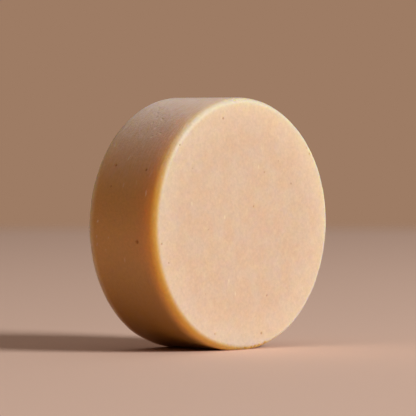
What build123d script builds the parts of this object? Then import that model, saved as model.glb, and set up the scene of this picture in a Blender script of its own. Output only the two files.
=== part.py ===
"""Shaving soap puck: one round cake of hard soap, stood on its rim.

A hand soap maker pours or presses this puck as a single piece, so the part is one solid.
It is a short cylinder with two flat faces. Both rims are rounded where the cake left its mould
and was handled. A narrow flat, worn along the bottom of the side wall, is what it stands on.

Frame: +Z up, the puck's round axis along Y, front face towards -Y.
Origin: the middle of the standing flat. Units: millimetres.
"""

import os
from math import sqrt

from build123d import *

# Driving dimensions
puck_diameter = 64.0
puck_thickness = 23.5  # from the front face to the back face
front_rim_radius = 1.5  # rounding between the front face and the side wall
back_rim_radius = 1.5  # rounding between the back face and the side wall
standing_flat_width = 8.0  # across the flat, square to the puck's axis

# Worked out from the driving dimensions
puck_radius = puck_diameter / 2
axis_height = sqrt(puck_radius**2 - (standing_flat_width / 2) ** 2)  # the round axis, above the flat

# Soap puck
with BuildPart() as soap_puck:
    # The round cake, half of its thickness to each side of the XZ plane
    with BuildSketch(Plane.XZ):
        with Locations((0, axis_height)):
            Circle(puck_radius)
    extrude(amount=puck_thickness / 2, both=True)

    # The standing flat lies in the XY plane
    split(bisect_by=Plane.XY, keep=Keep.TOP)

    # The two rims
    front_face, back_face = soap_puck.faces().filter_by(Axis.Y).sort_by(Axis.Y)
    fillet(front_face.edges(), front_rim_radius)
    fillet(back_face.edges(), back_rim_radius)

soap_puck.part.label = "soap_puck"

# One STEP file for each piece
os.makedirs("parts", exist_ok=True)
export_step(soap_puck.part, "parts/soap_puck.step")
print(f"soap_puck: {soap_puck.part.volume / 1000:.2f} cm3, axis {axis_height:.3f} mm above the flat")
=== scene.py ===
"""One cake of hard shaving soap, standing on its edge in a small studio.

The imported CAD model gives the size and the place. The cake is modelled round it as a fine mesh with
the marks of a hand-made soap: an outline that isn't quite true, a worn standing flat, air pits,
scratches, and rims that have begun to crumble. Lengths are metres, but for the tables and ranges of
marks, which are millimetres.
"""

import math
import random

import bmesh
import bpy
from bpy.props import FloatProperty, FloatVectorProperty, IntProperty, PointerProperty
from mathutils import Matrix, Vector, kdtree, noise


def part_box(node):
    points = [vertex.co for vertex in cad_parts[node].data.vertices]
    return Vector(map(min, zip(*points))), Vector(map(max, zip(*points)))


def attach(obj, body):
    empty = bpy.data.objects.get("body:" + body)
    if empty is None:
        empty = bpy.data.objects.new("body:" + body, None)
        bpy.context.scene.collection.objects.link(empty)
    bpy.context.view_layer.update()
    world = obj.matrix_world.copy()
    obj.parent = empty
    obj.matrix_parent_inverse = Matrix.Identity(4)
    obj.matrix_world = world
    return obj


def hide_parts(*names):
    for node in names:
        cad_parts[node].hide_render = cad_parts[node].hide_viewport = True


bl_info = {
    "name": "Shaving Soap Puck",
    "version": (1, 0, 0),
    "blender": (4, 5, 0),
    "location": "View3D > Sidebar > Soap",
    "description": "Makes a cake of hard shaving soap and the studio it stands in",
    "category": "Object",
}

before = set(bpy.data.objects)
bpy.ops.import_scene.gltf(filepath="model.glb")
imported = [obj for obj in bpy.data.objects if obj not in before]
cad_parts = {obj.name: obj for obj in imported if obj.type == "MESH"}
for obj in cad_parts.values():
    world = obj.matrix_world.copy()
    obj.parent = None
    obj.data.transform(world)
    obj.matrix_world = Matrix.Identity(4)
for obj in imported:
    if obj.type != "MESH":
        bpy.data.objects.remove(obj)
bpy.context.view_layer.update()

MM = 0.001

# The cake, from its CAD node
NODE = "soap_puck"
BODY = "root"
low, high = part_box(NODE)
PUCK_RADIUS = (high.x - low.x) / 2
PUCK_THICKNESS = high.y - low.y
AXIS_HEIGHT = high.z - PUCK_RADIUS  # of the round axis, above the standing flat
CENTRE = Vector((0, (low.y + high.y) / 2, AXIS_HEIGHT))
WHOLE_HEIGHT = 3 * MM  # above the standing flat, over which the cake's edges stay true
TOP_SHARE = 0.6  # of the outline's play that is towards the top, the rest being between corners


def linear(hex_colour):
    """The linear RGB of an sRGB colour written as six hex digits."""
    shares = [int(hex_colour[i : i + 2], 16) / 255 for i in (0, 2, 4)]
    return [s / 12.92 if s <= 0.04045 else ((s + 0.055) / 1.055) ** 2.4 for s in shares]


def opaque(colour):
    """A colour property as the four numbers that a shader socket takes."""
    return (*colour, 1.0)


def smoothstep(edge_0, edge_1, x):
    """0 at the first edge, 1 at the second, and a smooth rise between them."""
    t = min(1.0, max(0.0, (x - edge_0) / (edge_1 - edge_0)))
    return t * t * (3 - 2 * t)


# ---------------------------------------------------------------- settings


class SoapCakeSettings(bpy.types.PropertyGroup):
    """Sizes of the cake and of the marks on it."""

    front_rim_radius: FloatProperty(
        name="Front rim radius",
        description="Rounding between the front face and the side wall",
        default=1.9 * MM,
        min=0.3 * MM,
        unit="LENGTH",
    )
    back_rim_radius: FloatProperty(
        name="Back rim radius",
        description="Rounding between the back face and the side wall",
        default=1.4 * MM,
        min=0.3 * MM,
        unit="LENGTH",
    )
    mesh_step: FloatProperty(
        name="Mesh step",
        description="Length of a mesh face on the cut faces and the side wall",
        default=0.47 * MM,
        min=0.2 * MM,
        unit="LENGTH",
    )
    rim_steps: IntProperty(
        name="Rim steps",
        description="Mesh faces across half of a rim's rounding",
        default=5,
        min=2,
    )
    outline_play: FloatProperty(
        name="Outline play",
        description="The most that the hand-made outline falls short of a true circle",
        default=0.35 * MM,
        min=0.0,
        unit="LENGTH",
    )
    settling: FloatProperty(
        name="Settling",
        description="How far the cake has sunk on its standing flat under its own weight",
        default=0.45 * MM,
        min=0.0,
        unit="LENGTH",
    )
    settled_height: FloatProperty(
        name="Settled height",
        description="Height over which the soap above the standing flat was squeezed",
        default=6 * MM,
        min=1 * MM,
        unit="LENGTH",
    )
    face_play: FloatProperty(
        name="Face play",
        description="The most that the cut faces dip below a true plane",
        default=0.16 * MM,
        min=0.0,
        unit="LENGTH",
    )
    corner_direction: FloatProperty(
        name="Corner direction",
        description="Direction of one of the outline's four fullest places",
        default=math.radians(20),
        subtype="ANGLE",
    )
    wave_length: FloatProperty(
        name="Wave length",
        description="Size of the dips in the cut faces",
        default=17 * MM,
        min=1 * MM,
        unit="LENGTH",
    )
    ripple_play: FloatProperty(
        name="Ripple play",
        description="Depth of the small ripples all over",
        default=0.025 * MM,
        min=0.0,
        unit="LENGTH",
    )
    ripple_length: FloatProperty(
        name="Ripple length",
        description="Size of the small ripples",
        default=3.5 * MM,
        min=0.5 * MM,
        unit="LENGTH",
    )
    rim_play: FloatProperty(
        name="Rim play",
        description="How much more the rims are worn at some places",
        default=0.06 * MM,
        min=0.0,
        unit="LENGTH",
    )
    pit_depth: FloatProperty(
        name="Pit depth",
        description="Depth of an air pit one millimetre wide",
        default=0.2 * MM,
        min=0.0,
        unit="LENGTH",
    )
    scratch_depth: FloatProperty(
        name="Scratch depth",
        description="Depth of the deepest scratches on the side wall",
        default=0.12 * MM,
        min=0.0,
        unit="LENGTH",
    )
    crumb_depth: FloatProperty(
        name="Crumb depth",
        description="Depth of the deepest crumb broken from a rim",
        default=0.1 * MM,
        min=0.0,
        unit="LENGTH",
    )
    chip_depth: FloatProperty(
        name="Chip depth",
        description="Depth of a chip one millimetre wide in the front rim",
        default=0.5 * MM,
        min=0.0,
        unit="LENGTH",
    )
    fine_scratches: IntProperty(
        name="Fine scratches",
        description="Number of fine scratches on the side wall",
        default=50,
        min=0,
    )
    small_pits: IntProperty(
        name="Small pits",
        description="Number of small air pits on the faces, and again on the wall",
        default=10,
        min=0,
    )
    rim_crumbs: IntProperty(
        name="Rim crumbs",
        description="Number of crumbs broken from the rims",
        default=60,
        min=0,
    )
    random_seed: IntProperty(
        name="Random seed",
        description="Another number scatters the small pits, fine scratches and crumbs another way",
        default=11,
    )


class SoapFinishSettings(bpy.types.PropertyGroup):
    """Colours of the soap, with its painted shade, glow and highlights."""

    body_colour: FloatVectorProperty(
        name="Body",
        description="The soap's own ivory",
        subtype="COLOR",
        size=3,
        default=linear("DCC6B2"),
    )
    blush_colour: FloatVectorProperty(
        name="Blush",
        description="Warmer clouds where the milled noodles weren't quite alike",
        subtype="COLOR",
        size=3,
        default=linear("DDC1A8"),
    )
    fleck_colour: FloatVectorProperty(
        name="Fleck",
        description="Pale curds and flecks of fat",
        subtype="COLOR",
        size=3,
        default=linear("E8D8C0"),
    )
    # Partly painted shade: this colour darkens the pits' hollows, as well as standing for the oil that
    # gathers there
    stain_and_shade_colour: FloatVectorProperty(
        name="Stain",
        description="Oil that has gathered in the pits",
        subtype="COLOR",
        size=3,
        default=linear("B07238"),
    )
    # Partly painted shade: the wall's amber is in part the amber of its shaded side, besides the moulded
    # wall's own tone
    wall_and_shade_colour: FloatVectorProperty(
        name="Wall",
        description="The moulded wall, more amber than the cut faces",
        subtype="COLOR",
        size=3,
        default=linear("DAA964"),
    )
    # Painted glow: lighter amber next to the front rim, for light that shines through from the lit face
    corner_glow_colour: FloatVectorProperty(
        name="Corner",
        description="The wall next to the front rim, where the soap is clearest and lets light through",
        subtype="COLOR",
        size=3,
        default=linear("E2AE54"),
    )
    # Painted shade: the wall darker and more amber towards the bottom, where little light reaches it
    low_wall_shade_colour: FloatVectorProperty(
        name="Low wall",
        description="The lowest part of the wall, where more oil has come out",
        subtype="COLOR",
        size=3,
        default=linear("966404"),
    )
    scrape_colour: FloatVectorProperty(
        name="Scrape",
        description="Pale soap where the surface was scraped, or a face has dried towards its edge",
        subtype="COLOR",
        size=3,
        default=linear("F0DCC8"),
    )
    # Painted highlight as well as dry soap: pale rims on the upper right, where the key lamp catches them
    chalk_and_highlight_colour: FloatVectorProperty(
        name="Chalk",
        description="Dry soap on the rims of the upper right, which has dried most",
        subtype="COLOR",
        size=3,
        default=linear("F0E4D2"),
    )
    # Partly painted light: the pale skin is laid on most near the top of the wall, as light from above,
    # and along the back rim, as its reflection
    bloom_and_highlight_colour: FloatVectorProperty(
        name="Bloom",
        description="Dry ash-coloured skin on the moulded wall",
        subtype="COLOR",
        size=3,
        default=linear("EEDAD2"),
    )


class StudioSettings(bpy.types.PropertyGroup):
    """The table, the surround, the lamp and the camera."""

    table_colour: FloatVectorProperty(
        name="Table",
        description="Colour of the plain table top",
        subtype="COLOR",
        size=3,
        default=linear("F8D8CA"),
    )
    surround_colour: FloatVectorProperty(
        name="Surround",
        description="Colour of the plain backdrop at the height of the cake",
        subtype="COLOR",
        size=3,
        default=linear("9E7C64"),
    )
    room_colour: FloatVectorProperty(
        name="Room",
        description="Colour of the dim room above the backdrop",
        subtype="COLOR",
        size=3,
        default=linear("2A1E14"),
    )
    overhead_colour: FloatVectorProperty(
        name="Overhead",
        description="Colour of the soft light from above",
        subtype="COLOR",
        size=3,
        default=linear("96887C"),
    )
    key_power: FloatProperty(
        name="Key power",
        description="Radiant power of the large soft lamp",
        default=40.5,
        min=0.0,
        unit="POWER",
    )
    key_height: FloatProperty(
        name="Key height",
        description="Angle of the large soft lamp above the table",
        default=math.radians(27),
        subtype="ANGLE",
    )
    key_side: FloatProperty(
        name="Key side",
        description="Angle of the large soft lamp to the right of the front face's own direction",
        default=math.radians(16),
        subtype="ANGLE",
    )
    key_colour: FloatVectorProperty(
        name="Key colour",
        description="Colour of the large soft lamp's light",
        subtype="COLOR",
        size=3,
        default=(1.0, 0.98, 0.91),
    )
    view_azimuth: FloatProperty(
        name="View azimuth",
        description="Camera's direction round the cake, 0 square to the front face",
        default=math.radians(-46.6),
        subtype="ANGLE",
    )
    view_elevation: FloatProperty(
        name="View elevation",
        description="Camera's angle above the table",
        default=math.radians(1.4),
        subtype="ANGLE",
    )


# ---------------------------------------------------------------- the cake's mesh

HALF_BEND = math.pi / 4  # half of a rim's quarter turn
TINY = 1e-6  # for comparing places on the squared block


def ring_angle(x, z):
    """Angle round the axis for a point on a square ring, so that the ring's points spread evenly."""
    if abs(x) >= abs(z):
        return math.pi / 4 * (z / x) + (0 if x > 0 else math.pi)
    return math.pi / 2 - math.pi / 4 * (x / z) + (0 if z > 0 else math.pi)


def rim_radius(cake, side):
    """The rounding of the front rim, where side is below 0, or of the back rim."""
    return cake.front_rim_radius if side < 0 else cake.back_rim_radius


def squared_block(across, through):
    """A block from -1 to 1 each way, cut into across by across squares on its front and back and into
    through rows along Y. It has no poles, so a cake pressed from it is fine everywhere alike."""
    bm = bmesh.new()
    bmesh.ops.create_cube(bm, size=2)
    for axes, pieces in (((1,), through), ((0, 2), across)):
        edges = [  # the whole edges, which are 2 long
            e
            for e in bm.edges
            if any(abs(e.verts[0].co[a] - e.verts[1].co[a]) > 1 for a in axes)
        ]
        bmesh.ops.subdivide_edges(bm, edges=edges, cuts=pieces - 1, use_grid_fill=True)
    return bm


def press_round(bm, cake, across, through):
    """Presses the squared block into the round cake: square rings become circles, and the block's
    edges come to the middle of the rims. The vertex value "wall" goes from 0 on a face to 1 on the
    side wall."""
    wall = bm.verts.layers.float.new("wall")
    rings = across // 2
    flat_rings = rings - cake.rim_steps
    tilt_step = HALF_BEND / cake.rim_steps
    for v in bm.verts:
        x, y, z = v.co
        rim = rim_radius(cake, y)
        flat_radius = PUCK_RADIUS - rim
        half_wall = PUCK_THICKNESS / 2 - rim
        ring = max(abs(x), abs(z))
        turn = ring_angle(x, z) if ring > TINY else 0.0
        if ring < 1 - TINY:  # inside a face
            step = round(ring * rings)
            tilt = max(0, step - flat_rings) * tilt_step
            radius = flat_radius * min(1.0, step / flat_rings) + rim * math.sin(tilt)
            along = half_wall + rim * math.cos(tilt)
        else:  # on the side wall
            step = round((1 - abs(y)) / 2 * through)
            tilt = HALF_BEND + min(step, cake.rim_steps) * tilt_step
            radius = flat_radius + rim * math.sin(tilt)
            along = half_wall + rim * math.cos(tilt)
            if step > cake.rim_steps:
                along = half_wall * (through / 2 - step) / (through / 2 - cake.rim_steps)
        v.co = CENTRE + Vector((radius * math.cos(turn), math.copysign(along, y), radius * math.sin(turn)))
        v[wall] = tilt / (2 * HALF_BEND)


# ---------------------------------------------------------------- the cake's marks


class Mark:
    """A dent: its centre, its width in millimetres, its depth, how much oil and painted shade darken it or
    how pale it is scraped, and, for a scratch, the direction it runs and how many times longer it is than
    wide."""

    def __init__(self, centre, width, depth, oil_and_shade=0.0, scuff=0.0, run=None, stretch=1.0):
        self.centre = centre
        self.half_width = width / 2 * MM
        self.depth = depth
        self.oil_and_shade = oil_and_shade
        self.scuff = scuff
        self.run = run
        self.stretch = stretch

    def share(self, point):
        """1 at the mark's centre, and 0 at its edge and past it."""
        offset = point - self.centre
        if self.run:
            offset -= self.run * offset.dot(self.run) * (1 - 1 / self.stretch)
        return max(0.0, 1 - (offset.length / self.half_width) ** 2) ** 2

    def is_near(self, point, margin):
        """Whether a point is on the mark or less than the margin from it."""
        offset = point - self.centre
        if self.run:
            reach = self.half_width * self.stretch
            offset -= self.run * max(-reach, min(reach, offset.dot(self.run)))
        return offset.length < self.half_width + margin


def face_spot(across, up, side=-1):
    """A point on a face, from millimetres across and up from its centre. The front face's side is -1."""
    return CENTRE + Vector((across * MM, side * PUCK_THICKNESS / 2, up * MM))


def wall_spot(degrees, back):
    """A point on the side wall, from degrees to the left of its top and millimetres behind its middle."""
    turn = math.radians(90 + degrees)
    return CENTRE + Vector((PUCK_RADIUS * math.cos(turn), back * MM, PUCK_RADIUS * math.sin(turn)))


def wall_run(degrees, slant):
    """The direction round the side wall at a spot, turned by slant degrees towards the back face."""
    turn = math.radians(90 + degrees)
    lean = math.radians(slant)
    return Vector((-math.sin(turn) * math.cos(lean), math.sin(lean), math.cos(turn) * math.cos(lean)))


def rim_spot(cake, degrees, side=-1):
    """A point on the middle of a rim's rounding, from degrees to the left of its top."""
    turn = math.radians(90 + degrees)
    reach = rim_radius(cake, side) * (1 - math.sqrt(0.5))
    radius = PUCK_RADIUS - reach
    along = side * (PUCK_THICKNESS / 2 - reach)
    return CENTRE + Vector((radius * math.cos(turn), along, radius * math.sin(turn)))


# The marks that are placed one by one, in millimetres, and in degrees to the left of the top

# Pits on the front face: across, up, width
FACE_PITS = (
    (-7.5, 26.5, 1.0),
    (-23.0, 20.0, 0.8),
    (23.5, 19.0, 1.1),
    (24.5, 17.5, 1.0),
    (7.5, 13.0, 0.7),
    (17.5, 10.0, 0.8),
    (3.5, 4.5, 0.9),
    (-29.4, -4.1, 0.9),
    (-27.0, -8.8, 0.7),
    (8.5, -18.0, 0.8),
    (6.5, -27.5, 1.1),
    (-10.5, -26.9, 0.8),
)
# Pits on the side wall: degrees, behind the middle, width
WALL_PITS = ((62, 5.5, 1.2), (72, 5.0, 0.8), (64, -5.5, 1.1), (96.5, -5.5, 1.4))
# Scratches on the side wall: degrees, behind the middle, width, slant in degrees, length over width
WALL_SCRATCHES = (
    (24, 5.5, 0.7, -20, 2.2),
    (26, 7.0, 0.6, 15, 2.6),
    (29, 3.5, 0.7, -45, 3.0),
    (33, 2.0, 0.6, 30, 2.6),
    (34, -0.5, 0.8, -55, 3.2),
    (37, 1.5, 0.55, -20, 3.5),
    (40, -1.0, 0.6, 20, 2.6),
    (44, -4.0, 0.75, -60, 2.0),
    (46, -1.8, 0.7, 50, 2.0),
    (51, 9.0, 0.7, -25, 2.6),
    (58, 2.0, 0.45, 10, 5.0),
    (75, -7.5, 0.45, -5, 5.0),
    (88, 8.0, 0.5, 35, 2.0),
)
# Chips in the front rim: degrees, width
RIM_CHIPS = ((5, 1.1), (176, 0.9), (181.5, 1.3), (185.5, 1.1), (188, 1.3), (191, 1.2), (195, 1.5))
# How much oil and painted shade darken these pits, and how pale these chips are
FACE_PIT_OIL_AND_SHADE = 0.55
WALL_PIT_OIL_AND_SHADE = 0.9
CHIP_SCUFF = 0.1

# What the scattered marks are drawn between, in the same units
ACROSS_WALL = (-10, 10)
PITTED_FACE = (0, 0.9)  # shares of a face's area, counted from its middle
FACE_PIT_WIDTHS = (0.4, 0.75)
FACE_PIT_OILS_AND_SHADES = (0.1, 0.5)
PITTED_WALL = (-170, 170)
WALL_PIT_WIDTHS = (0.35, 0.7)
WALL_PIT_OILS_AND_SHADES = (0.1, 0.6)
SCRATCHED_WALL = (-110, 110)
SCRATCH_WIDTHS = (0.35, 0.7)
SCRATCH_DEPTHS = (0.2, 0.6)  # times the deepest
SCRATCH_SCUFFS = (0.15, 0.6)
SCRATCH_STRETCHES = (1.5, 5)
SCRATCH_SLANT = 22  # the usual slant either way
CRUMBLED_RIM = (-175, 90)
CRUMB_WIDTHS = (0.7, 1.8)
CRUMB_DEPTHS = (0.3, 1.0)  # times the deepest
CRUMB_SCUFFS = (0.05, 0.3)


def placed_marks(cake):
    """The pits, scratches and chips that are placed one by one."""
    marks = [
        Mark(face_spot(across, up), width, cake.pit_depth * width, oil_and_shade=FACE_PIT_OIL_AND_SHADE)
        for across, up, width in FACE_PITS
    ]
    marks += [
        Mark(wall_spot(degrees, back), width, cake.pit_depth * width, oil_and_shade=WALL_PIT_OIL_AND_SHADE)
        for degrees, back, width in WALL_PITS
    ]
    marks += [
        Mark(
            wall_spot(degrees, back),
            width,
            cake.scratch_depth,
            scuff=1.0,
            run=wall_run(degrees, slant),
            stretch=stretch,
        )
        for degrees, back, width, slant, stretch in WALL_SCRATCHES
    ]
    marks += [
        Mark(rim_spot(cake, degrees), width, cake.chip_depth * width, scuff=CHIP_SCUFF)
        for degrees, width in RIM_CHIPS
    ]
    return marks


def scattered_marks(cake):
    """Small air pits all over, fine scratches on the upper wall, and crumbs broken out of both rims."""
    draw = random.Random(cake.random_seed)
    marks = []
    for _ in range(cake.small_pits):
        side = draw.choice((-1, 1))
        reach = PUCK_RADIUS / MM * math.sqrt(draw.uniform(*PITTED_FACE))
        turn = draw.uniform(0, 2 * math.pi)
        spot = face_spot(reach * math.cos(turn), reach * math.sin(turn), side)
        width = draw.uniform(*FACE_PIT_WIDTHS)
        marks.append(Mark(spot, width, cake.pit_depth * width, oil_and_shade=draw.uniform(*FACE_PIT_OILS_AND_SHADES)))
    for _ in range(cake.small_pits):
        spot = wall_spot(draw.uniform(*PITTED_WALL), draw.uniform(*ACROSS_WALL))
        width = draw.uniform(*WALL_PIT_WIDTHS)
        marks.append(Mark(spot, width, cake.pit_depth * width, oil_and_shade=draw.uniform(*WALL_PIT_OILS_AND_SHADES)))
    for _ in range(cake.fine_scratches):
        degrees = draw.uniform(*SCRATCHED_WALL)
        width = draw.uniform(*SCRATCH_WIDTHS)
        marks.append(
            Mark(
                wall_spot(degrees, draw.uniform(*ACROSS_WALL)),
                width,
                cake.scratch_depth * draw.uniform(*SCRATCH_DEPTHS),
                scuff=draw.uniform(*SCRATCH_SCUFFS),
                run=wall_run(degrees, draw.gauss(0, SCRATCH_SLANT)),
                stretch=draw.uniform(*SCRATCH_STRETCHES),
            )
        )
    for _ in range(cake.rim_crumbs):
        side = draw.choice((-1, 1))
        spot = rim_spot(cake, draw.uniform(*CRUMBLED_RIM), side)
        width = draw.uniform(*CRUMB_WIDTHS)
        depth = cake.crumb_depth * draw.uniform(*CRUMB_DEPTHS)
        marks.append(Mark(spot, width, depth, scuff=draw.uniform(*CRUMB_SCUFFS)))
    return marks


def refine(bm, cake, marks):
    """Cuts the mesh finer at each mark, so that its hollow is round."""
    finder = kdtree.KDTree(len(bm.verts))
    bm.verts.ensure_lookup_table()
    for v in bm.verts:
        finder.insert(v.co, v.index)
    finder.balance()
    edges = set()
    margin = cake.mesh_step / 2
    for mark in marks:
        for _, index, _ in finder.find_range(mark.centre, mark.half_width * mark.stretch + margin):
            v = bm.verts[index]
            if mark.is_near(v.co, margin):
                edges.update(v.link_edges)
    bmesh.ops.subdivide_edges(bm, edges=list(edges), cuts=2, use_grid_fill=True)


def hand_made(cake, point, wall):
    """How far the hand-made cake falls short of the true one at a point: an outline that is a little
    low and four-cornered, cut faces that aren't quite flat, and rims rounded more here than there."""
    offset = point - CENTRE
    turn = math.atan2(offset.z, offset.x)
    lowness = max(0.0, math.sin(turn))
    between_corners = 0.5 - 0.5 * math.cos(4 * (turn - cake.corner_direction))
    shortfall = TOP_SHARE * lowness + (1 - TOP_SHARE) * between_corners
    outline = cake.outline_play * shortfall
    waves = 0.5 + 0.5 * noise.noise(offset / cake.wave_length)
    ripples = 0.5 + 0.5 * noise.noise(offset / cake.ripple_length)
    faces = cake.face_play * waves + cake.ripple_play * ripples
    rim = 4 * wall * (1 - wall) * cake.rim_play * ripples
    return (1 - wall) * faces + wall * (outline + cake.ripple_play * ripples) + rim


def weather(bm, cake, marks):
    """Moves the mesh inwards by the hand-made unevenness and the marks, settles it on its standing flat,
    and stores as vertex values each mark's oil with the painted shade of its hollow, and its paleness as
    "scuff"."""
    wall = bm.verts.layers.float["wall"]
    oil_and_shade = bm.verts.layers.float.new("oil_and_shade")
    scuff = bm.verts.layers.float.new("scuff")
    bm.normal_update()
    bm.verts.ensure_lookup_table()
    finder = kdtree.KDTree(len(bm.verts))
    depth = []
    for v in bm.verts:
        finder.insert(v.co, v.index)
        unevenness = hand_made(cake, v.co, v[wall])
        depth.append(unevenness * smoothstep(0, WHOLE_HEIGHT, v.co.z))
    finder.balance()
    for mark in marks:
        for _, index, _ in finder.find_range(mark.centre, mark.half_width * mark.stretch):
            v = bm.verts[index]
            share = mark.share(v.co)
            depth[index] += mark.depth * share
            v[oil_and_shade] = max(v[oil_and_shade], mark.oil_and_shade * share)
            v[scuff] = max(v[scuff], mark.scuff * min(1, 2 * share))  # pale nearly to its edge
    for v, inwards in zip(bm.verts, depth):
        v.co -= v.normal * inwards
        v.co.z = max(v.co.z - cake.settling * smoothstep(0, cake.settled_height, v.co.z), 0.0)


class SoapCake(bpy.types.Operator):
    """Make the cake of hard shaving soap"""

    bl_idname = "soap.make_cake"
    bl_label = "Make Cake"

    def execute(self, context):
        cake = context.scene.soap_cake
        face_rings = round((PUCK_RADIUS - cake.front_rim_radius) / cake.mesh_step)
        wall_rows = round((PUCK_THICKNESS / 2 - cake.front_rim_radius) / cake.mesh_step)
        across = 2 * (face_rings + cake.rim_steps)
        through = 2 * (wall_rows + cake.rim_steps)
        bm = squared_block(across, through)
        press_round(bm, cake, across, through)
        marks = placed_marks(cake) + scattered_marks(cake)
        bm.verts.index_update()
        refine(bm, cake, marks)
        bmesh.ops.recalc_face_normals(bm, faces=bm.faces)
        bm.verts.index_update()
        weather(bm, cake, marks)
        for face in bm.faces:
            face.smooth = True
        mesh = bpy.data.meshes.new("soap_cake")
        bm.to_mesh(mesh)
        bm.free()
        piece = bpy.data.objects.new("soap_cake", mesh)
        context.scene.collection.objects.link(piece)
        mesh.materials.append(hard_soap(context.scene.soap_finish))
        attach(piece, BODY)
        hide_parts(NODE)
        return {"FINISHED"}


# ---------------------------------------------------------------- materials

# Settings that many nodes share, and the sockets of a Mix node that mixes colours
SMOOTH = {"interpolation_type": "SMOOTHSTEP"}
COLOURS = {"data_type": "RGBA"}
SHARE = 0
UNDER = 6
OVER = 7
MIXED = 2

# The cut soap's pattern
CLOUD_SIZE = 5 * MM
CURD_SIZE = 2.5 * MM
FLECK_SPACING = 2.2 * MM
FLECK_SCALE = (1.0, 1.0, 0.45)  # less along Z, so the flecks are longer that way
FLECK_LEAN = math.radians(12)
FLECK_PICK = 0.84  # a cell whose random number is above this one has a fleck
FLECK_EDGE = 0.17  # in cells, as is its core
FLECK_CORE = 0.07

# Where it has dried, and where the painted highlight lies on the lit upper right: distances from the axis
PALE_START = PUCK_RADIUS - 10 * MM
PALE_FULL = PUCK_RADIUS + 3 * MM
PALE_RAGGED = 5 * MM  # how far the curds push the pale soap's edge
DRIEST_LIT_WAY = (0.85, 0, 0.53)  # the upper right, which faces the key lamp
CHALK_LIGHT_START = -22 * MM  # along the driest, lit way
CHALK_LIGHT_FULL = 2 * MM
CHALK_LIGHT_SHIFT = 0.45  # how much further round a chalky rim with its painted highlight the amber begins

# The moulded wall's painted shade low down, and its bloom and painted top light: heights above the axis
LOW_SHADE_START = -2 * MM
LOW_SHADE_FULL = -28 * MM
BLOOM_AND_LIGHT_START = 5 * MM
BLOOM_AND_LIGHT_FULL = 35 * MM
# The painted glow next to the front rim: distances from the front face; the bloom and painted reflection
# at the back rim: distances from the back face
CORNER_GLOW_START = 5 * MM
CORNER_GLOW_FULL = 1 * MM
BACK_BLOOM_AND_REFLECTION = 3 * MM

# The surface
STREAK_LENGTH = 3 * MM
STREAK_WIDTH = 0.35 * MM
STREAK_HEIGHT = 0.12 * MM
GRAIN_SIZE = 0.7 * MM
GRAIN_HEIGHT = 0.2 * MM
BUMP_STRENGTH = 0.5
LIGHT_REACH = (10.5, 8.0, 1.2)  # of red, green and blue into the soap, in millimetres


def add_node(tree, kind, settings=None, sockets=None):
    """Adds a node with its settings. Each of its sockets is given a value, or is linked if it is given
    another node's output."""
    node = tree.nodes.new(kind)
    for key, value in (settings or {}).items():
        setattr(node, key, value)
    for key, value in (sockets or {}).items():
        if isinstance(value, bpy.types.NodeSocket):
            tree.links.new(value, node.inputs[key])
        else:
            node.inputs[key].default_value = value
    return node


def flecks(tree, from_axis):
    """Where the pale bits of fat are, some drawn out by the mill."""
    drawn_out = add_node(
        tree,
        "ShaderNodeMapping",
        sockets={"Vector": from_axis, "Rotation": (0, FLECK_LEAN, 0), "Scale": FLECK_SCALE},
    ).outputs["Vector"]
    cells = add_node(
        tree,
        "ShaderNodeTexVoronoi",
        {"feature": "F1"},
        {"Vector": drawn_out, "Scale": 1 / FLECK_SPACING, "Randomness": 1.0},
    ).outputs
    pick = add_node(tree, "ShaderNodeSeparateColor", sockets={0: cells["Color"]}).outputs[0]
    chosen = add_node(
        tree, "ShaderNodeMath", {"operation": "GREATER_THAN"}, {0: pick, 1: FLECK_PICK}
    ).outputs[0]
    rounded = add_node(
        tree,
        "ShaderNodeMapRange",
        SMOOTH,
        {"Value": cells["Distance"], "From Min": FLECK_EDGE, "From Max": FLECK_CORE, "To Max": 0.8},
    ).outputs[0]
    return add_node(
        tree, "ShaderNodeMath", {"operation": "MULTIPLY"}, {0: rounded, 1: chosen}
    ).outputs[0]


def cut_soap(tree, finish, from_axis, clouds, curds):
    """The colour of the cut faces: the milled noodles were pressed together before they were quite
    alike, so the soap is cloudy, with curds and flecks of fat in it."""
    cloud_share = add_node(
        tree,
        "ShaderNodeMapRange",
        sockets={"Value": clouds, "From Min": 0.38, "From Max": 0.62},
    ).outputs[0]
    tone = add_node(
        tree,
        "ShaderNodeMix",
        COLOURS,
        {SHARE: cloud_share, UNDER: opaque(finish.body_colour), OVER: opaque(finish.blush_colour)},
    ).outputs[MIXED]
    curd_share = add_node(
        tree,
        "ShaderNodeMapRange",
        sockets={"Value": curds, "From Min": 0.5, "From Max": 0.8, "To Max": 0.4},
    ).outputs[0]
    curdled = add_node(
        tree,
        "ShaderNodeMix",
        COLOURS,
        {SHARE: curd_share, UNDER: tone, OVER: opaque(finish.fleck_colour)},
    ).outputs[MIXED]
    return add_node(
        tree,
        "ShaderNodeMix",
        COLOURS,
        {SHARE: flecks(tree, from_axis), UNDER: curdled, OVER: opaque(finish.fleck_colour)},
    ).outputs[MIXED]


def towards_dry_lit_side(tree, from_axis):
    """How far a place is towards the upper right, which has dried most and faces the key lamp, where the
    highlight is painted.
    """
    towards_dry_lit = add_node(
        tree,
        "ShaderNodeVectorMath",
        {"operation": "DOT_PRODUCT"},
        {0: from_axis, 1: DRIEST_LIT_WAY},
    ).outputs["Value"]
    return add_node(
        tree,
        "ShaderNodeMapRange",
        SMOOTH,
        {"Value": towards_dry_lit, "From Min": CHALK_LIGHT_START, "From Max": CHALK_LIGHT_FULL},
    ).outputs[0]


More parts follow.
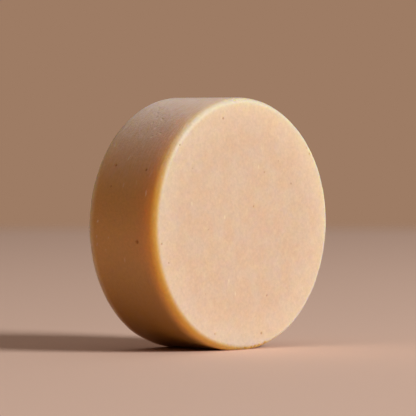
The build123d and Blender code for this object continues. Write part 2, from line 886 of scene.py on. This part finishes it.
def dried_edge(tree, finish, place, curds, soap):
    """The soap's colour, paler towards the outline of a face, which dries first."""
    on_face = add_node(
        tree, "ShaderNodeCombineXYZ", sockets={"X": place["X"], "Y": place["Z"]}
    ).outputs[0]
    from_middle = add_node(
        tree, "ShaderNodeVectorMath", {"operation": "LENGTH"}, {0: on_face}
    ).outputs["Value"]
    ragged = add_node(
        tree,
        "ShaderNodeMath",
        {"operation": "MULTIPLY_ADD"},
        {0: curds, 1: PALE_RAGGED, 2: from_middle},
    ).outputs[0]
    dry_share = add_node(
        tree,
        "ShaderNodeMapRange",
        SMOOTH,
        {"Value": ragged, "From Min": PALE_START, "From Max": PALE_FULL, "To Max": 0.45},
    ).outputs[0]
    return add_node(
        tree,
        "ShaderNodeMix",
        COLOURS,
        {SHARE: dry_share, UNDER: soap, OVER: opaque(finish.scrape_colour)},
    ).outputs[MIXED]


def chalky_lit_rims(tree, finish, wall, dry_lit_side, soap):
    """The soap's colour, with the rims chalky on the side that has dried most, and a painted highlight on
    them there, where they face the key lamp.
    """
    on_rim = add_node(
        tree,
        "ShaderNodeMapRange",
        SMOOTH,
        {"Value": wall, "From Min": 0.0, "From Max": 0.3, "To Max": 0.75},
    ).outputs[0]
    # Chalk and painted highlight on the lit rims
    chalk_highlight_share = add_node(
        tree, "ShaderNodeMath", {"operation": "MULTIPLY"}, {0: dry_lit_side, 1: on_rim}
    ).outputs[0]
    return add_node(
        tree,
        "ShaderNodeMix",
        COLOURS,
        {SHARE: chalk_highlight_share, UNDER: soap, OVER: opaque(finish.chalk_and_highlight_colour)},
    ).outputs[MIXED]


def amber_wall_and_shade(tree, finish, place, wall_share, soap):
    """The soap's colour, with the moulded wall more amber than the cut faces, partly because it is closed
    and oily and partly as painted amber shade. It has painted shade low down and a painted glow next to
    the front rim."""
    # Painted shade towards the bottom of the wall
    low_shade_share = add_node(
        tree,
        "ShaderNodeMapRange",
        SMOOTH,
        {"Value": place["Z"], "From Min": LOW_SHADE_START, "From Max": LOW_SHADE_FULL},
    ).outputs[0]
    wall_and_shade_tone = add_node(
        tree,
        "ShaderNodeMix",
        COLOURS,
        {
            SHARE: low_shade_share,
            UNDER: opaque(finish.wall_and_shade_colour),
            OVER: opaque(finish.low_wall_shade_colour),
        },
    ).outputs[MIXED]
    # Painted glow next to the front rim
    corner_glow_share = add_node(
        tree,
        "ShaderNodeMapRange",
        SMOOTH,
        {
            "Value": place["Y"],
            "From Min": -PUCK_THICKNESS / 2 + CORNER_GLOW_START,
            "From Max": -PUCK_THICKNESS / 2 + CORNER_GLOW_FULL,
            "To Max": 0.8,
        },
    ).outputs[0]
    glowing_corner = add_node(
        tree,
        "ShaderNodeMix",
        COLOURS,
        {SHARE: corner_glow_share, UNDER: wall_and_shade_tone, OVER: opaque(finish.corner_glow_colour)},
    ).outputs[MIXED]
    return add_node(
        tree, "ShaderNodeMix", COLOURS, {SHARE: wall_share, UNDER: soap, OVER: glowing_corner}
    ).outputs[MIXED]


def mould_streaks(tree, place):
    """Fine streaks round the wall, where the cake slid out of its mould."""
    turn = add_node(
        tree, "ShaderNodeMath", {"operation": "ARCTAN2"}, {0: place["X"], 1: place["Z"]}
    ).outputs[0]
    round_wall = add_node(
        tree,
        "ShaderNodeMath",
        {"operation": "MULTIPLY"},
        {0: turn, 1: PUCK_RADIUS / STREAK_LENGTH},
    ).outputs[0]
    across_wall = add_node(
        tree, "ShaderNodeMath", {"operation": "DIVIDE"}, {0: place["Y"], 1: STREAK_WIDTH}
    ).outputs[0]
    on_wall = add_node(
        tree, "ShaderNodeCombineXYZ", sockets={"X": round_wall, "Y": across_wall}
    ).outputs[0]
    return add_node(
        tree,
        "ShaderNodeTexNoise",
        sockets={"Vector": on_wall, "Scale": 1.0, "Detail": 3.0, "Distortion": 0.6},
    ).outputs["Fac"]


def bloom_and_highlight(tree, place, streaks, wall_share):
    """How much of the wall's dry, ash-coloured skin there is, with painted light: most near the top, as
    painted light from above, and next to the back face, as a painted reflection along the back rim; uneven
    along the streaks."""
    towards_top = add_node(
        tree,
        "ShaderNodeMapRange",
        SMOOTH,
        {"Value": place["Z"], "From Min": BLOOM_AND_LIGHT_START, "From Max": BLOOM_AND_LIGHT_FULL, "To Min": 0.03},
    ).outputs[0]
    towards_back = add_node(
        tree,
        "ShaderNodeMapRange",
        SMOOTH,
        {
            "Value": place["Y"],
            "From Min": PUCK_THICKNESS / 2 - BACK_BLOOM_AND_REFLECTION,
            "From Max": PUCK_THICKNESS / 2,
            "To Max": 0.8,
        },
    ).outputs[0]
    reach = add_node(
        tree, "ShaderNodeMath", {"operation": "MAXIMUM"}, {0: towards_top, 1: towards_back}
    ).outputs[0]
    streak_share = add_node(
        tree,
        "ShaderNodeMapRange",
        sockets={
            "Value": streaks,
            "From Min": 0.3,
            "From Max": 0.7,
            "To Min": 0.6,
            "To Max": 1.4,
        },
    ).outputs[0]
    streaked = add_node(
        tree,
        "ShaderNodeMath",
        {"operation": "MULTIPLY", "use_clamp": True},
        {0: reach, 1: streak_share},
    ).outputs[0]
    return add_node(
        tree, "ShaderNodeMath", {"operation": "MULTIPLY"}, {0: streaked, 1: wall_share}
    ).outputs[0]


def fine_relief(tree, grain, streaks, wall_share):
    """The surface's normal, roughened by the grain all over and by the streaks on the wall."""
    grain_bump = add_node(
        tree,
        "ShaderNodeBump",
        sockets={"Height": grain, "Strength": BUMP_STRENGTH, "Distance": GRAIN_HEIGHT},
    ).outputs[0]
    streak_height = add_node(
        tree, "ShaderNodeMath", {"operation": "MULTIPLY"}, {0: streaks, 1: wall_share}
    ).outputs[0]
    return add_node(
        tree,
        "ShaderNodeBump",
        sockets={
            "Height": streak_height,
            "Strength": BUMP_STRENGTH,
            "Distance": STREAK_HEIGHT,
            "Normal": grain_bump,
        },
    ).outputs[0]


def hard_soap(finish):
    """Triple-milled tallow soap: pressed in a round mould, cut to a puck and dried in the air."""
    material = bpy.data.materials.new("triple_milled_soap")
    material.use_nodes = True
    tree = material.node_tree
    shader = tree.nodes["Principled BSDF"]

    where = add_node(tree, "ShaderNodeTexCoord").outputs["Object"]
    from_axis = add_node(
        tree, "ShaderNodeMapping", sockets={"Vector": where, "Location": -CENTRE}
    ).outputs["Vector"]
    place = add_node(tree, "ShaderNodeSeparateXYZ", sockets={0: from_axis}).outputs
    wall = add_node(tree, "ShaderNodeAttribute", {"attribute_name": "wall"}).outputs["Fac"]
    # Oil in the pits, and painted shade in their hollows
    oil_and_shade = add_node(tree, "ShaderNodeAttribute", {"attribute_name": "oil_and_shade"}).outputs["Fac"]
    scuff = add_node(tree, "ShaderNodeAttribute", {"attribute_name": "scuff"}).outputs["Fac"]
    clouds = add_node(
        tree,
        "ShaderNodeTexNoise",
        sockets={"Vector": from_axis, "Scale": 1 / CLOUD_SIZE, "Detail": 4.0, "Distortion": 0.4},
    ).outputs["Fac"]
    curds = add_node(
        tree,
        "ShaderNodeTexNoise",
        sockets={"Vector": from_axis, "Scale": 1 / CURD_SIZE, "Detail": 4.0, "Roughness": 0.6},
    ).outputs["Fac"]
    # The grain is the powdery surface of dry soap, drawn a little coarser than it is so that it shows
    grain = add_node(
        tree,
        "ShaderNodeTexNoise",
        sockets={"Vector": from_axis, "Scale": 1 / GRAIN_SIZE, "Detail": 3.0, "Roughness": 0.6},
    ).outputs["Fac"]
    streaks = mould_streaks(tree, place)

    # The wall's amber comes in over the first half of a rim's bend, and later where the rim is chalky and
    # has its painted highlight
    dry_lit_side = towards_dry_lit_side(tree, from_axis)
    past_chalk_light = add_node(
        tree,
        "ShaderNodeMath",
        {"operation": "MULTIPLY_ADD"},
        {0: dry_lit_side, 1: -CHALK_LIGHT_SHIFT, 2: wall},
    ).outputs[0]
    wall_share = add_node(
        tree,
        "ShaderNodeMapRange",
        SMOOTH,
        {"Value": past_chalk_light, "From Min": 0.0, "From Max": 0.5},
    ).outputs[0]
    bloom_and_highlight_share = bloom_and_highlight(tree, place, streaks, wall_share)

    soap = cut_soap(tree, finish, from_axis, clouds, curds)
    soap = dried_edge(tree, finish, place, curds, soap)
    soap = chalky_lit_rims(tree, finish, wall, dry_lit_side, soap)
    soap = amber_wall_and_shade(tree, finish, place, wall_share, soap)
    # Over all of that lie the bloom with its painted top light and rim reflection, the oil and painted
    # shade in the pits, and soap that was scraped
    for share, tint in (
        (bloom_and_highlight_share, finish.bloom_and_highlight_colour),
        (oil_and_shade, finish.stain_and_shade_colour),
        (scuff, finish.scrape_colour),
    ):
        soap = add_node(
            tree, "ShaderNodeMix", COLOURS, {SHARE: share, UNDER: soap, OVER: opaque(tint)}
        ).outputs[MIXED]

    grain_value = add_node(
        tree,
        "ShaderNodeMapRange",
        sockets={"Value": grain, "To Min": 0.86, "To Max": 1.14},
    ).outputs[0]
    colour = add_node(
        tree, "ShaderNodeHueSaturation", sockets={"Value": grain_value, "Color": soap}
    )
    roughness = add_node(
        tree,
        "ShaderNodeMapRange",
        sockets={
            "Value": clouds,
            "From Min": 0.3,
            "From Max": 0.7,
            "To Min": 0.46,
            "To Max": 0.56,
        },
    )
    tree.links.new(colour.outputs[0], shader.inputs["Base Color"])
    tree.links.new(roughness.outputs[0], shader.inputs["Roughness"])
    tree.links.new(fine_relief(tree, grain, streaks, wall_share), shader.inputs["Normal"])
    shader.inputs["IOR"].default_value = 1.46
    # The bloom is a fine powder, which is brightest where it is seen at a low angle; its sheen follows the
    # share of bloom and painted light
    tree.links.new(bloom_and_highlight_share, shader.inputs["Sheen Weight"])
    shader.inputs["Sheen Roughness"].default_value = 0.4
    shader.inputs["Sheen Tint"].default_value = opaque(finish.bloom_and_highlight_colour)
    # Light goes several millimetres into tallow soap, red furthest and blue hardly at all, so the
    # shaded side glows amber next to a lit rim
    shader.inputs["Subsurface Weight"].default_value = 1.0
    shader.inputs["Subsurface Radius"].default_value = LIGHT_REACH
    shader.inputs["Subsurface Scale"].default_value = MM
    return material


# ---------------------------------------------------------------- studio

TABLE_RADIUS = 1.15  # where the table's soft edge has gone
TABLE_FADE = 0.85  # where the table's soft edge begins
TABLE_SIDES = 96
KEY_DISTANCE = 2.2
KEY_SIZE = 1.0
CAMERA_DISTANCE = 0.8915
CAMERA_LENS = 306.5  # mm, as is the sensor's width
SENSOR_WIDTH = 36
VIEW_LIMIT = 20  # farther than the camera needs to see
AIM_RIGHT = -0.5 * MM  # of the camera's aim from the cake's centre
AIM_UP = 3.5 * MM

# Heights on a surround of radius 1
BACKDROP_TOP = 0.045
ROOM_BOTTOM = 0.08
CEILING_BOTTOM = 0.3
CEILING_FULL = 0.9


def table_material(studio):
    """Matt painted board: it takes soft shadows and gives no gloss. Its edge fades away, so that it
    meets the surround softly."""
    material = bpy.data.materials.new("table_top")
    material.use_nodes = True
    tree = material.node_tree
    shader = tree.nodes["Principled BSDF"]
    shader.inputs["Base Color"].default_value = opaque(studio.table_colour)
    shader.inputs["Roughness"].default_value = 0.8
    shader.inputs["Specular IOR Level"].default_value = 0.15
    where = add_node(tree, "ShaderNodeTexCoord").outputs["Object"]
    span = add_node(tree, "ShaderNodeVectorMath", {"operation": "LENGTH"}, {0: where})
    fade = add_node(
        tree,
        "ShaderNodeMapRange",
        SMOOTH,
        {"Value": span.outputs["Value"], "From Min": TABLE_RADIUS, "From Max": TABLE_FADE},
    )
    tree.links.new(fade.outputs["Result"], shader.inputs["Alpha"])
    return material


def surround(studio, world):
    """A world that is the backdrop's colour at the horizon, dark above it and light overhead."""
    world.use_nodes = True
    tree = world.node_tree
    where = add_node(tree, "ShaderNodeTexCoord").outputs["Generated"]
    height = add_node(tree, "ShaderNodeSeparateXYZ", sockets={0: where}).outputs["Z"]
    above_backdrop = add_node(
        tree,
        "ShaderNodeMapRange",
        SMOOTH,
        {"Value": height, "From Min": BACKDROP_TOP, "From Max": ROOM_BOTTOM},
    ).outputs[0]
    walls = add_node(
        tree,
        "ShaderNodeMix",
        COLOURS,
        {
            SHARE: above_backdrop,
            UNDER: opaque(studio.surround_colour),
            OVER: opaque(studio.room_colour),
        },
    ).outputs[MIXED]
    towards_ceiling = add_node(
        tree,
        "ShaderNodeMapRange",
        SMOOTH,
        {"Value": height, "From Min": CEILING_BOTTOM, "From Max": CEILING_FULL},
    ).outputs[0]
    room = add_node(
        tree,
        "ShaderNodeMix",
        COLOURS,
        {SHARE: towards_ceiling, UNDER: walls, OVER: opaque(studio.overhead_colour)},
    ).outputs[MIXED]
    tree.links.new(room, tree.nodes["Background"].inputs["Color"])


def compass(side, height):
    """The direction from the cake at an angle to the right of the front face's own direction, and at an
    angle above the table."""
    return Vector(
        (
            math.sin(side) * math.cos(height),
            -math.cos(side) * math.cos(height),
            math.sin(height),
        )
    )


class SoapStage(bpy.types.Operator):
    """Set the table, the surround, the lamp and the camera"""

    bl_idname = "soap.set_stage"
    bl_label = "Set Stage"

    def execute(self, context):
        studio = context.scene.soap_studio
        scene = context.scene

        bm = bmesh.new()
        bmesh.ops.create_circle(bm, cap_ends=True, segments=TABLE_SIDES, radius=TABLE_RADIUS)
        mesh = bpy.data.meshes.new("table_top")
        bm.to_mesh(mesh)
        bm.free()
        mesh.materials.append(table_material(studio))
        table = bpy.data.objects.new("table_top", mesh)
        scene.collection.objects.link(table)

        scene.world = bpy.data.worlds.new("surround")
        surround(studio, scene.world)
        scene.view_settings.view_transform = "Standard"

        lamp = bpy.data.lights.new("key", "AREA")
        lamp.shape = "DISK"
        lamp.size = KEY_SIZE
        lamp.energy = studio.key_power
        lamp.color = studio.key_colour
        towards_key = compass(studio.key_side, studio.key_height)
        key = bpy.data.objects.new("key", lamp)
        key.location = CENTRE + towards_key * KEY_DISTANCE
        key.rotation_mode = "QUATERNION"
        key.rotation_quaternion = (-towards_key).to_track_quat("-Z", "Y")
        key.visible_camera = False
        scene.collection.objects.link(key)

        camera = bpy.data.objects.new("camera", bpy.data.cameras.new("camera"))
        camera.data.lens = CAMERA_LENS
        camera.data.sensor_width = SENSOR_WIDTH
        camera.data.clip_end = VIEW_LIMIT
        back = compass(studio.view_azimuth, studio.view_elevation)
        right = Vector((math.cos(studio.view_azimuth), math.sin(studio.view_azimuth), 0))
        aim = CENTRE + AIM_RIGHT * right + Vector((0, 0, AIM_UP))
        camera.location = aim + back * CAMERA_DISTANCE
        camera.rotation_mode = "QUATERNION"
        camera.rotation_quaternion = (-back).to_track_quat("-Z", "Y")
        scene.collection.objects.link(camera)
        scene.camera = camera
        return {"FINISHED"}


# ---------------------------------------------------------------- add-on


class SoapPanel(bpy.types.Panel):
    """Buttons that make the soap puck and set its stage"""

    bl_idname = "VIEW3D_PT_soap"
    bl_label = "Soap Puck"
    bl_space_type = "VIEW_3D"
    bl_region_type = "UI"
    bl_category = "Soap"

    def draw(self, context):
        self.layout.operator(SoapCake.bl_idname)
        self.layout.operator(SoapStage.bl_idname)


CLASSES = (SoapCakeSettings, SoapFinishSettings, StudioSettings, SoapCake, SoapStage, SoapPanel)


def register():
    for cls in CLASSES:
        bpy.utils.register_class(cls)
    bpy.types.Scene.soap_cake = PointerProperty(type=SoapCakeSettings)
    bpy.types.Scene.soap_finish = PointerProperty(type=SoapFinishSettings)
    bpy.types.Scene.soap_studio = PointerProperty(type=StudioSettings)


def unregister():
    del bpy.types.Scene.soap_studio
    del bpy.types.Scene.soap_finish
    del bpy.types.Scene.soap_cake
    for cls in reversed(CLASSES):
        bpy.utils.unregister_class(cls)


def main():
    register()
    bpy.ops.soap.make_cake()
    bpy.ops.soap.set_stage()


if __name__ == "__main__":
    main()
